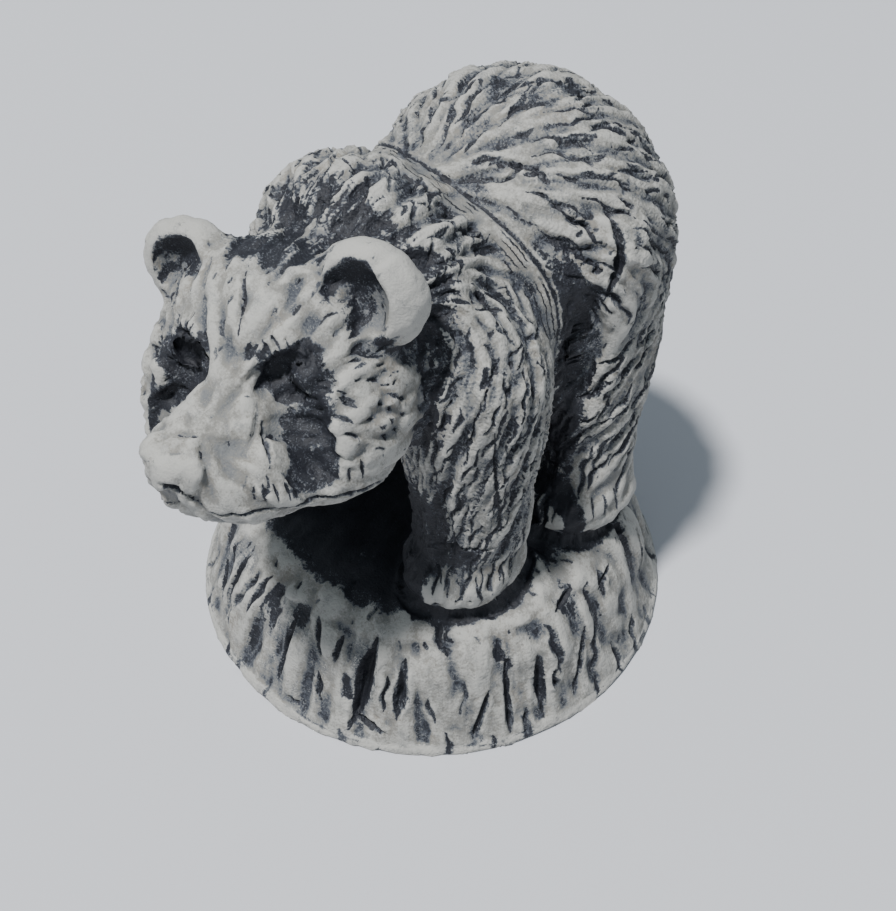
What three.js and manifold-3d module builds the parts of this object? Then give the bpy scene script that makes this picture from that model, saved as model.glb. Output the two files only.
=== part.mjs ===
// A cast-stone bear standing on a rocky mound: one solid casting, the bear and its mound together.
// Millimetres, +Z up. The bear faces -Y, its left side is +X, and the origin is the centre of the flat underside.
// The form is a blend of rounded masses, written as a distance function and then drawn as a closed skin.
import * as THREE from "three";
import { mergeVertices } from "three/addons/utils/BufferGeometryUtils.js";
import Module from "manifold-3d";

// Driving dimensions of the casting
const MOUND_RADIUS = 28; // at the foot of the mound
const MOUND_HEIGHT = 16; // the ground that the paws stand on
const BACK_HEIGHT = 62.4; // top of the rump and of the shoulder hump

const SHOULDER_HEIGHT = 46; // middle of the shoulder mass
const MANTLE_Y = 3.6; // rear edge of the mantle down the shoulder
const MANTLE_SWEEP = 7; // how far that edge runs forward on its way up to the spine
const LOCK_WIDTH = 6.2;
const LOCK_HEIGHT = 0.4;
const GOUGES = 26;
const GOUGE_WIDTH = 1.5;
const GOUGE_DEPTH = 0.9;

// How finely the skin is drawn
const COARSE_STEP = 2.3;
const FINE_STEP = 1.6;

const RAD = Math.PI / 180;

// Blends: k is the width over which two masses melt together
function join(a, b, k) {
  const h = Math.max(k - Math.abs(a - b), 0) / k;
  return Math.min(a, b) - h * h * k * 0.25;
}
function cut(a, b, k) {
  return -join(-a, b, k);
}

// Distance to an ellipsoid with centre c and half-axes r, close to exact near its surface
function ellipsoid(p, c, r) {
  const x = p[0] - c[0];
  const y = p[1] - c[1];
  const z = p[2] - c[2];
  const scaled = Math.hypot(x / r[0], y / r[1], z / r[2]);
  const slope = Math.hypot(x / (r[0] * r[0]), y / (r[1] * r[1]), z / (r[2] * r[2]));
  return slope < 1e-9 ? -Math.min(...r) : (scaled * (scaled - 1)) / slope;
}

// Distance to a limb that tapers from radius ra at a to radius rb at b
function limb(p, a, b, ra, rb) {
  const d = [b[0] - a[0], b[1] - a[1], b[2] - a[2]];
  const q = [p[0] - a[0], p[1] - a[1], p[2] - a[2]];
  const t = (q[0] * d[0] + q[1] * d[1] + q[2] * d[2]) / (d[0] * d[0] + d[1] * d[1] + d[2] * d[2]);
  const s = Math.min(1, Math.max(0, t));
  return Math.hypot(q[0] - d[0] * s, q[1] - d[1] * s, q[2] - d[2] * s) - (ra + (rb - ra) * s);
}

// The head has its own frame, facing -Y, placed at HEAD_AT and turned to the bear's left
const HEAD_AT = new THREE.Vector3(2.6, -18.6, 47.6);
const HEAD_TURN = new THREE.Matrix4().makeRotationFromEuler(
  new THREE.Euler(-2 * RAD, -7 * RAD, 24 * RAD, "ZXY"),
);
const TO_HEAD = new THREE.Matrix4().setPosition(HEAD_AT).multiply(HEAD_TURN).invert();

function inHead(p) {
  const e = TO_HEAD.elements;
  return [
    e[0] * p[0] + e[4] * p[1] + e[8] * p[2] + e[12],
    e[1] * p[0] + e[5] * p[1] + e[9] * p[2] + e[13],
    e[2] * p[0] + e[6] * p[1] + e[10] * p[2] + e[14],
  ];
}

// A thick round ear with a hollow in its front
function ear(p, at, size) {
  const shell = ellipsoid(p, at, [size, size * 0.62, size * 0.96]);
  const hollow = ellipsoid(p, [at[0] * 0.97, at[1] - size * 0.6, at[2] - 0.3], [size * 0.62, size * 0.62, size * 0.6]);
  return cut(shell, hollow, 1);
}

function head(world) {
  const p = inHead(world);
  const m = [Math.abs(p[0]), p[1], p[2]]; // both sides alike
  let d = ellipsoid(p, [0, -0.5, 1], [10.8, 9, 9.3]);
  d = join(d, ellipsoid(m, [7.2, -2.0, -3.4], [5.9, 8.4, 6.9]), 3); // cheeks
  d = join(d, ellipsoid(p, [-0.3, -6.5, -6.3], [9, 10, 3.6]), 2.5); // jaw
  d = join(d, ellipsoid(m, [7.0, -4.0, -6.2], [5.2, 7.0, 4.0]), 2);
  d = join(d, limb(p, [0.2, -7, -1.5], [-1.2, -13.2, -3.3], 5.6, 4.4), 2.5); // muzzle
  d = join(d, ellipsoid(p, [2.8, -11, -4.6], [4.8, 5.0, 4.2]), 2);
  d = join(d, ellipsoid(p, [-3.6, -11.2, -4.4], [4.0, 4.6, 4.0]), 2);
  d = join(d, ellipsoid(p, [-1.5, -15.2, -2.0], [3.7, 2.8, 3.0]), 1.2); // nose
  d = cut(d, ellipsoid(m, [5.0, -8.9, 2.2], [3.3, 2.7, 2.7]), 1.6); // eye sockets
  d = cut(d, limb(m, [6.8, -9.9, 0.8], [9.6, -11.2, -4.6], 2.6, 2.0), 1.4); // hollow under the eye
  const ears = Math.min(ear(p, [9.6, 0.6, 7.0], 5.3), ear(p, [-8.8, 0.4, 6.4], 4.9));
  return join(d, ears, 1.5);
}

// The rear edge of the mantle: how far behind it a point lies, across the back and down the shoulder
function behindMantle(p) {
  return p[1] - MANTLE_Y + MANTLE_SWEEP * Math.max(0, (p[2] - SHOULDER_HEIGHT) / 15) ** 2;
}

// Locks of fur: long shallow waves that follow the lie of the coat, in millimetres of height
function locks(p) {
  const m = behindMantle(p);
  const side = Math.abs(p[0]);
  const front = Math.sin(((m + 0.22 * (p[2] - 40)) * 2 * Math.PI) / LOCK_WIDTH + 0.5 * Math.sin(side * 0.6 + p[2] * 0.25));
  const round = Math.atan2(side, p[2] - 42) * 17 + 0.35 * (p[1] - 12);
  const rear = Math.sin((round * 2 * Math.PI) / LOCK_WIDTH + 0.7 * Math.sin(p[1] * 0.45 + round * 0.2));
  const blend = THREE.MathUtils.smoothstep(m, -1, 1);
  const onBear = THREE.MathUtils.smoothstep(p[2], MOUND_HEIGHT + 4, MOUND_HEIGHT + 10);
  return LOCK_HEIGHT * onBear * THREE.MathUtils.lerp(front, rear, blend);
}

function body(p) {
  const m = [Math.abs(p[0]), p[1], p[2]];
  let d = ellipsoid(p, [0, 12.6, 45.5], [17, 14.6, BACK_HEIGHT - 1.6 - 45.5]);
  d = join(d, ellipsoid(p, [0, 1, 43], [12.5, 14, 12.5]), 6);
  // Shoulders and front legs, which the mantle ends behind
  let fore = ellipsoid(p, [0, -7, SHOULDER_HEIGHT], [14.5, 10.5, BACK_HEIGHT - 2.8 - SHOULDER_HEIGHT]);
  fore = join(fore, ellipsoid(m, [11.5, -3.5, 38], [6.0, 8, 13]), 3);
  fore = join(fore, limb(m, [12.8, -4.8, 42], [13.2, -4.6, 23], 6.8, 5.6), 3);
  fore = join(fore, ellipsoid(m, [13.4, -6.4, MOUND_HEIGHT + 2.2], [6.0, 7.0, 4.4]), 2);
  d = join(d, fore, 2);
  // Hind legs
  let hind = ellipsoid(m, [10, 12.5, 37], [7.2, 9.5, 12]);
  hind = join(hind, limb(m, [12, 12, 30], [14, 11, 21], 5.8, 4.8), 4);
  hind = join(hind, ellipsoid(m, [14, 10.0, MOUND_HEIGHT + 2.2], [5.6, 7.0, 4]), 2);
  d = join(d, hind, 3);
  return d - locks(p);
}

// A gouge down the side of the mound, at an angle round it and leaning a little
function gouges(p) {
  const r = Math.hypot(p[0], p[1]);
  const angle = Math.atan2(p[1], p[0]);
  let depth = 0;
  for (let n = 0; n < GOUGES; n++) {
    const spread = (n * 0.618) % 1;
    const at = ((n + 0.5 * spread) * 2 * Math.PI) / GOUGES + 0.02 * (spread - 0.5) * (p[2] - 8);
    const away = Math.atan2(Math.sin(angle - at), Math.cos(angle - at)) * r;
    const reach = THREE.MathUtils.smoothstep(MOUND_HEIGHT - 1 - 4 * spread - p[2], 0, 3);
    depth += GOUGE_DEPTH * (0.5 + spread) * reach * Math.exp(-((away / GOUGE_WIDTH) ** 2));
  }
  return depth;
}

function mound(p) {
  const r = Math.hypot(p[0], p[1]);
  const lip = 1.2 * Math.exp(-Math.max(0, p[2]) / 3);
  const foot = THREE.MathUtils.smoothstep(p[2], 0, 3);
  const wall = r - MOUND_RADIUS + 1.2 - lip + 0.24 * Math.max(0, p[2]) + foot * gouges(p);
  return -join(-wall * 0.95, -(p[2] - MOUND_HEIGHT), 5);
}

function figure(p) {
  const above = join(join(body(p), head(p), 2.5), mound(p), 1);
  return Math.max(above, -3 - p[2]); // a little of the mound lies below the cut, for the flat underside
}

// Grid lines from low to high, close together inside the fine span
function gridLines(low, high, fineLow, fineHigh) {
  const lines = [low];
  while (lines.at(-1) < high) {
    const at = lines.at(-1);
    lines.push(at + (at > fineLow && at < fineHigh ? FINE_STEP : COARSE_STEP));
  }
  return lines;
}

// A grid cell's corners, numbered by which of x, y and z is at its far side, its 12 edges and its 6 faces
const CORNERS = [0, 1, 2, 3, 4, 5, 6, 7].map((n) => [n & 1, (n >> 1) & 1, n >> 2]);
const EDGES = [1, 2, 4].flatMap((bit) => CORNERS.keys().filter((n) => !(n & bit)).map((n) => [n, n | bit]).toArray());
const FACES = [1, 2, 4].flatMap((bit) => {
  const [u, w] = [1, 2, 4].filter((other) => other !== bit);
  return [0, bit].map((side) => [side, side | u, side | u | w, side | w]);
});
const edgeBetween = (a, b) => EDGES.findIndex(([n, o]) => n === Math.min(a, b) && o === Math.max(a, b));
const FACE_EDGES = FACES.map((ring) => ring.map((corner, n) => edgeBetween(corner, ring[(n + 1) % 4])));

// Numbers the separate pieces of surface inside one cell: patch[edge] is -1 where the surface doesn't cross
function patches(inside) {
  const patch = EDGES.map(([a, b], n) => (inside[a] === inside[b] ? -1 : n));
  const merge = (a, b) => {
    const [from, to] = [patch[a], patch[b]];
    patch.forEach((name, n) => {
      if (name === from) patch[n] = to;
    });
  };
  FACES.forEach((ring, f) => {
    const crossed = FACE_EDGES[f].filter((edge) => patch[edge] >= 0);
    if (crossed.length === 2) merge(...crossed);
    if (crossed.length === 4)
      ring.forEach((corner, n) => inside[corner] && merge(FACE_EDGES[f][(n + 3) % 4], FACE_EDGES[f][n]));
  });
  return patch;
}

// The closed skin of a distance function: one vertex for each piece of surface in each grid cell
function skin(field, xs, ys, zs) {
  const lines = [xs, ys, zs];
  const [nx, ny, nz] = lines.map((line) => line.length);
  const stride = [1, nx, nx * ny];
  const value = new Float64Array(nx * ny * nz);
  for (let k = 0; k < nz; k++)
    for (let j = 0; j < ny; j++)
      for (let i = 0; i < nx; i++) value[i + nx * (j + ny * k)] = field([xs[i], ys[j], zs[k]]);

  const points = [];
  const vertexOf = new Int32Array(value.length * EDGES.length).fill(-1);
  for (let k = 0; k + 1 < nz; k++)
    for (let j = 0; j + 1 < ny; j++)
      for (let i = 0; i + 1 < nx; i++) {
        const cell = i + nx * (j + ny * k);
        const v = CORNERS.map(([a, b, c]) => value[cell + a + nx * (b + ny * c)]);
        if (v.every((d) => d < 0) || v.every((d) => d >= 0)) continue;
        const patch = patches(v.map((d) => d < 0));
        for (const name of new Set(patch.filter((n) => n >= 0))) {
          const sum = new THREE.Vector3();
          const mine = EDGES.keys().filter((n) => patch[n] === name).toArray();
          for (const edge of mine) {
            const [a, b] = EDGES[edge];
            const t = v[a] / (v[a] - v[b]);
            const spot = [i, j, k].map((c, axis) =>
              THREE.MathUtils.lerp(lines[axis][c + CORNERS[a][axis]], lines[axis][c + CORNERS[b][axis]], t),
            );
            sum.add(new THREE.Vector3(...spot));
            vertexOf[cell * EDGES.length + edge] = points.length;
          }
          points.push(settle(field, sum.divideScalar(mine.length)));
        }
      }

  const faces = [];
  for (let k = 1; k + 1 < nz; k++)
    for (let j = 1; j + 1 < ny; j++)
      for (let i = 1; i + 1 < nx; i++)
        for (let axis = 0; axis < 3; axis++) {
          const here = i + nx * (j + ny * k);
          const inside = value[here] < 0;
          if (inside === value[here + stride[axis]] < 0) continue;
          const [u, w] = [(axis + 1) % 3, (axis + 2) % 3];
          // The four cells round this grid line, and the corner of each where the line starts
          const ring = [[1, 1], [0, 1], [0, 0], [1, 0]].map(([backU, backW]) => {
            const corner = (backU << u) | (backW << w);
            const cell = here - backU * stride[u] - backW * stride[w];
            return vertexOf[cell * EDGES.length + edgeBetween(corner, corner | (1 << axis))];
          });
          if (!inside) ring.reverse();
          const [a, b, c, d] = ring.map((n) => points[n]);
          if (a.distanceTo(c) > b.distanceTo(d)) ring.push(ring.shift());
          faces.push(ring[0], ring[1], ring[2], ring[0], ring[2], ring[3]);
        }
  return new THREE.BufferGeometry().setFromPoints(points).setIndex(faces);
}

// Moves a point along the field's slope until it lies on the surface
function settle(field, point) {
  const p = point.toArray();
  const h = 0.05;
  for (let turn = 0; turn < 3; turn++) {
    const d = field(p);
    const g = [0, 1, 2].map((n) => {
      const q = p.slice();
      q[n] += h;
      return (field(q) - d) / h;
    });
    const g2 = g[0] * g[0] + g[1] * g[1] + g[2] * g[2];
    const step = Math.max(-0.4, Math.min(0.4, d / Math.max(g2, 0.25)));
    for (let n = 0; n < 3; n++) p[n] -= step * g[n];
  }
  return new THREE.Vector3(...p);
}

const wasm = await Module();
wasm.setup();

function solid(geometry) {
  return new wasm.Manifold(
    new wasm.Mesh({
      numProp: 3,
      vertProperties: new Float32Array(geometry.getAttribute("position").array),
      triVerts: new Uint32Array(geometry.index.array),
    }),
  );
}

const xs = gridLines(-31, 31, -8, 20);
const ys = gridLines(-52, 32, -48, -14);
const zs = gridLines(-7.5, 68, 34, 62);
const whole = solid(skin(figure, xs, ys, zs));
const below = new THREE.BoxGeometry(100, 120, 20).translate(0, 0, -10);
for (const name of ["normal", "uv"]) below.deleteAttribute(name);
const cast = whole.subtract(solid(mergeVertices(below))).getMesh();

const geometry = new THREE.BufferGeometry()
  .setAttribute("position", new THREE.BufferAttribute(cast.vertProperties, 3))
  .setIndex(new THREE.BufferAttribute(cast.triVerts, 1));
const stone = new THREE.MeshStandardMaterial({ color: 0xc4c3bb, roughness: 0.8, metalness: 0 });
const bear = new THREE.Mesh(geometry, stone);
bear.name = "bear_casting";

const group = new THREE.Group();
group.add(bear);
export default group;
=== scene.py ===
"""Cast-stone bear on a rocky mound: the fine carving, and the finish of bare stone and dark wash."""

import math
from dataclasses import dataclass

import bmesh
import bpy
import numpy as np
from mathutils import Matrix, Vector


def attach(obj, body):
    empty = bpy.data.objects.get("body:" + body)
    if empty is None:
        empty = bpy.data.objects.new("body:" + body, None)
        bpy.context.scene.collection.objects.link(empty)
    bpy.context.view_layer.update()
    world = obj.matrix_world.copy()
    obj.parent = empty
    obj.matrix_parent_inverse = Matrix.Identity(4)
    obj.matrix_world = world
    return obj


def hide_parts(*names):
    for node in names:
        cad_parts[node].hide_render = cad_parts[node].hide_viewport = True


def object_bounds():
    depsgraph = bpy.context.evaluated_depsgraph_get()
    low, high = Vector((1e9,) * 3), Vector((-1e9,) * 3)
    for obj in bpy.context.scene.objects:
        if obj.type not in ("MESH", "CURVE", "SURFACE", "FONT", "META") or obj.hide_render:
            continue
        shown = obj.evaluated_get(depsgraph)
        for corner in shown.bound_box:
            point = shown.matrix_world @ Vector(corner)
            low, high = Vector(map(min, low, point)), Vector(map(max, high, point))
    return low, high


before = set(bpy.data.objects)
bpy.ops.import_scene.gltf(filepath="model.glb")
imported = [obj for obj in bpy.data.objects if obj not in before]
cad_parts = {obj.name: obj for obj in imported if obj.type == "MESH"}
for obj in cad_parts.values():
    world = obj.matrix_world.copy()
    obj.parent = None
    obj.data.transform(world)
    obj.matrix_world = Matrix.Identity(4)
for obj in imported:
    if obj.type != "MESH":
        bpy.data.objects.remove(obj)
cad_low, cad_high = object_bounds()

bl_info = {
    "name": "Cast-stone bear",
    "version": (1, 0, 0),
    "blender": (4, 5, 0),
    "location": "View3D > Sidebar > Bear",
    "description": "Carves and finishes a small cast-stone bear on its mound",
    "category": "Object",
}

MM = 0.001
PER_MM = 1 / MM
CASTING = "bear_casting"

# Main sizes of the casting, in millimetres. The mound's foot and the back's height come from the frame.
MOUND_RADIUS = (cad_high.x - cad_low.x) / 2 / MM + 0.23
MOUND_HEIGHT = 16.0
BACK_HEIGHT = cad_high.z / MM + 1.4
SHOULDER_HEIGHT = 46.0
MANTLE_Y = 3.6
MANTLE_SWEEP = 7.0

# The left paws: middle and radii, in millimetres
FORE_PAW = ((13.4, -6.4, MOUND_HEIGHT + 2.2), (6.0, 7.0, 4.4))
HIND_PAW = ((14.0, 10.0, MOUND_HEIGHT + 2.2), (5.6, 7.0, 4.0))

# Strands of the coat: samples to each side of a point, bedding, sharpness, and width in millimetres
STRAND_SAMPLES = 5
RIDGE_BED = 0.85
STRAND_GAIN = 14.0
FINE_STRAND = 1.5

# Hairs in the finish: samples to each side of a point, sizes in millimetres, and how sharp they are
HAIR_SAMPLES = 2
HAIR_WIDTH = 0.5
HAIR_STEP = 0.45
HAIR_GAIN = 12.0

# How a chisel stroke wavers, in radians, and how soon it turns, in radians for each millimetre
WAVER = 0.35
WAVER_TURN = 1.9

# Steps along drawn and traced strokes, and how far a drawn one is smoothed, in millimetres
DRAWN_STEP = 0.35
SHORT_STEP = 0.2
TRACE_STEP = 0.3
DRAWN_SOFTNESS = 1.2

# Scattered cuts: the most places tried for one kind, and how clear they stay of the listed lines
MOST_STARTS = 9000
CLEAR_OF_LINES = 1.8

# Rounds of softening over neighbouring points
STRAND_ROUNDS = 12
SEAM_ROUNDS = 6
HOLLOW_ROUNDS = 6

# The head's own frame, facing -Y, and where the middle of the face lies in it
FACE_MIDDLE = 0.7
HEAD_AT = np.array([2.6, -18.6, 47.6])
HEAD_TURN = np.array(
    Matrix.Rotation(math.radians(24), 3, "Z")
    @ Matrix.Rotation(math.radians(-2), 3, "X")
    @ Matrix.Rotation(math.radians(-7), 3, "Y")
)


# Distances to plain masses, in millimetres, for an array of points
def join(a, b, k):
    """Two masses melted together over a width k."""
    h = np.maximum(k - np.abs(a - b), 0.0) / k
    return np.minimum(a, b) - h * h * k * 0.25


def cut(a, b, k):
    """The first mass with the second taken out of it, melted over a width k."""
    return -join(-a, b, k)


def ellipsoid(p, centre, radii):
    q = (p - np.array(centre)) / radii
    scaled = np.sqrt((q * q).sum(1))
    q /= radii
    slope = np.sqrt((q * q).sum(1))
    return scaled * (scaled - 1.0) / np.maximum(slope, 1e-6)


def limb(p, a, b, ra, rb):
    a, b = np.array(a, float), np.array(b, float)
    d = b - a
    s = np.clip((p - a) @ d / (d @ d), 0.0, 1.0)
    q = p - a - s[:, None] * d
    return np.sqrt((q * q).sum(1)) - (ra + (rb - ra) * s)


def smoothstep(x, low, high):
    t = np.clip((x - low) / (high - low), 0.0, 1.0)
    return t * t * (3 - 2 * t)


def in_head(p):
    return (p - HEAD_AT) @ HEAD_TURN


def both_sides(p):
    """The points folded onto the left side, for masses that are alike on both."""
    return np.column_stack((np.abs(p[:, 0]), p[:, 1], p[:, 2]))


# The masses of the figure
def ear(p, at, size):
    shell = ellipsoid(p, at, [size, size * 0.62, size * 0.96])
    hollow_at = [at[0] * 0.97, at[1] - size * 0.54, at[2] + size * 0.13]
    return cut(shell, ellipsoid(p, hollow_at, [size * 0.62, size * 0.47, size * 0.72]), 0.8)


def ears(p):
    return np.minimum(ear(p, [9.6, 0.6, 7.0], 5.3), ear(p, [-8.8, 0.4, 6.4], 4.9))


def head(world):
    p = in_head(world)
    m = both_sides(p)
    d = ellipsoid(p, [0, -0.5, 1], [10.8, 9, 9.3])
    d = join(d, ellipsoid(m, [7.2, -2.0, -3.4], [5.9, 8.4, 6.9]), 3)
    d = join(d, ellipsoid(p, [-0.3, -6.5, -6.3], [9, 10, 3.6]), 2.5)
    d = join(d, ellipsoid(m, [7.0, -4.0, -6.2], [5.2, 7.0, 4.0]), 2)
    d = join(d, limb(p, [0.2, -7, -1.5], [-1.2, -13.2, -3.3], 5.6, 4.4), 2.5)
    d = join(d, ellipsoid(p, [2.8, -11, -4.6], [4.8, 5.0, 4.2]), 2)
    d = join(d, ellipsoid(p, [-3.6, -11.2, -4.4], [4.0, 4.6, 4.0]), 2)
    d = join(d, ellipsoid(p, [-1.5, -15.2, -2.0], [3.8, 3.0, 3.1]), 0.5)
    eye = both_sides(p - np.array([FACE_MIDDLE, 0, 0]))
    d = cut(d, ellipsoid(eye, [5.3, -9.2, 3.2], [3.1, 3.0, 2.3]), 0.9)
    d = cut(d, limb(eye, [5.9, -9.9, 1.2], [9.0, -11.2, -4.4], 2.6, 1.9), 1.2)
    d = join(d, ellipsoid(eye, [6.0, -6.3, 2.6], [1.6, 1.6, 1.5]), 0.5)
    return join(d, ears(p), 1.5)


def behind_mantle(p):
    """How far a point lies behind the mantle's rear edge, across the back and down the shoulder."""
    return p[:, 1] - MANTLE_Y + MANTLE_SWEEP * np.maximum(0.0, (p[:, 2] - SHOULDER_HEIGHT) / 15) ** 2


def body(p):
    m = both_sides(p)
    d = ellipsoid(p, [0, 12.6, 45.5], [17, 14.6, BACK_HEIGHT - 1.6 - 45.5])
    d = join(d, ellipsoid(p, [0, 1, 43], [12.5, 14, 12.5]), 6)
    fore = ellipsoid(p, [0, -7, SHOULDER_HEIGHT], [14.5, 10.5, BACK_HEIGHT - 2.8 - SHOULDER_HEIGHT])
    fore = join(fore, ellipsoid(m, [11.5, -3.5, 38], [6.0, 8, 13]), 3)
    fore = join(fore, limb(m, [12.8, -4.8, 42], [12.9, -5.0, 23], 6.8, 6.2), 3)
    fore = join(fore, ellipsoid(m, *FORE_PAW), 1.2)
    d = join(d, fore, 1.6)
    hind = ellipsoid(m, [10, 12.5, 37], [7.2, 9.5, 12])
    hind = join(hind, limb(m, [12, 12, 30], [14, 11, 21], 5.8, 4.8), 4)
    hind = join(hind, ellipsoid(m, *HIND_PAW), 1.5)
    hind = join(hind, limb(m, [14.4, 12.0, 50.5], [14.9, 10.2, 37], 2.6, 2.5), 1.5)
    d = join(d, hind, 2.2)
    return cut(d, ellipsoid(m, [20.4, 6.6, 41], [6.2, 2.3, 11]), 1.4)


def mound(p):
    r = np.hypot(p[:, 0], p[:, 1])
    rise = np.maximum(0.0, p[:, 2])
    wall = r - MOUND_RADIUS + 1.2 - 1.2 * np.exp(-rise / 3) + 0.24 * rise
    return -join(-wall * 0.95, MOUND_HEIGHT - p[:, 2], 8)


def figure(p):
    """Distance to the whole casting, its flat underside included."""
    return np.maximum(join(join(body(p), head(p), 2.0), mound(p), 0.8), -p[:, 2])


def slopes(field, p, reach=0.05):
    """The field and its gradient at each point."""
    d = field(p)
    g = np.empty_like(p)
    for axis in range(3):
        q = p.copy()
        q[:, axis] += reach
        g[:, axis] = (field(q) - d) / reach
    return d, g


def unit(v):
    return v / np.maximum(np.linalg.norm(v, axis=1, keepdims=True), 1e-9)


def settle(field, p, turns):
    """Moves points down the field's slope until they lie on its surface."""
    for _ in range(turns):
        d, g = slopes(field, p)
        step = np.clip(d / np.maximum((g * g).sum(1), 0.25), -0.4, 0.4)
        p = p - step[:, None] * g
    return p


# Meshes and node trees
def read_points(mesh):
    flat = np.empty(len(mesh.vertices) * 3, np.float32)
    mesh.vertices.foreach_get("co", flat)
    return flat.reshape(-1, 3).astype(float)


def write_points(mesh, p):
    mesh.vertices.foreach_set("co", p.astype(np.float32).ravel())
    mesh.update()


def write_attribute(mesh, name, values):
    attribute = mesh.attributes.get(name) or mesh.attributes.new(name, "FLOAT", "POINT")
    attribute.data.foreach_set("value", values.astype(np.float32))


def add_object(name, data):
    made = bpy.data.objects.new(name, data)
    bpy.context.scene.collection.objects.link(made)
    return made


def bake(piece):
    """Turns the piece's modifiers into plain mesh."""
    depsgraph = bpy.context.evaluated_depsgraph_get()
    depsgraph.update()
    mesh = bpy.data.meshes.new_from_object(piece.evaluated_get(depsgraph))
    piece.modifiers.clear()
    old, piece.data = piece.data, mesh
    bpy.data.meshes.remove(old)


class Graph:
    """A node tree that is written as a list of steps: each add() makes a node and wires what it reads."""

    def __init__(self, tree):
        self.tree = tree

    def add(self, kind, inputs=None, **settings):
        node = self.tree.nodes.new(kind)
        for key, value in settings.items():
            setattr(node, key, value)
        for key, value in (inputs or {}).items():
            self.wire(node.inputs[key], value)
        return node

    def wire(self, socket, value):
        if isinstance(value, bpy.types.NodeSocket):
            self.tree.links.new(value, socket)
        else:
            socket.default_value = value

    def math(self, operation, a, b=None):
        inputs = {0: a} if b is None else {0: a, 1: b}
        return self.add("ShaderNodeMath", inputs, operation=operation).outputs[0]

    def plus(self, a, b):
        return self.math("ADD", a, b)

    def minus(self, a, b):
        return self.math("SUBTRACT", a, b)

    def times(self, a, b):
        return self.math("MULTIPLY", a, b)

    def ramp(self, value, low, high, to_low=0.0, to_high=1.0):
        inputs = {"Value": value, "From Min": low, "From Max": high, "To Min": to_low, "To Max": to_high}
        return self.add("ShaderNodeMapRange", inputs, interpolation_type="SMOOTHSTEP").outputs["Result"]

    def noise(self, vector, scale, detail, roughness):
        inputs = {"Vector": vector, "Scale": scale, "Detail": detail, "Roughness": roughness}
        return self.add("ShaderNodeTexNoise", inputs).outputs["Fac"]

    def scaled(self, vector, scale):
        inputs = {"Vector": vector, "Scale": scale}
        return self.add("ShaderNodeVectorMath", inputs, operation="SCALE").outputs[0]

    def drawn_out(self, place, way, steps, scale, detail):
        """A noise drawn out along a way: the mean of it at the place shifted by each of the steps."""
        total = None
        for step in steps:
            shift = {0: place, 1: self.scaled(way, step)}
            at = self.add("ShaderNodeVectorMath", shift, operation="ADD").outputs[0]
            sample = self.noise(at, scale, detail, 0.5)
            total = sample if total is None else self.plus(total, sample)
        return self.math("DIVIDE", total, len(steps))

    def attribute(self, name):
        return self.add("ShaderNodeAttribute", attribute_name=name).outputs["Fac"]

    def mix(self, factor, a, b):
        """Two colours mixed: the node's colour inputs are numbers 6 and 7, and its colour output is 2."""
        return self.add("ShaderNodeMix", {"Factor": factor, 6: a, 7: b}, data_type="RGBA").outputs[2]


def sockets(tree, in_out, rows):
    for name, kind, default in rows:
        socket = tree.interface.new_socket(name, in_out=in_out, socket_type="NodeSocket" + kind)
        if default is not None:
            socket.default_value = default


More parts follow.
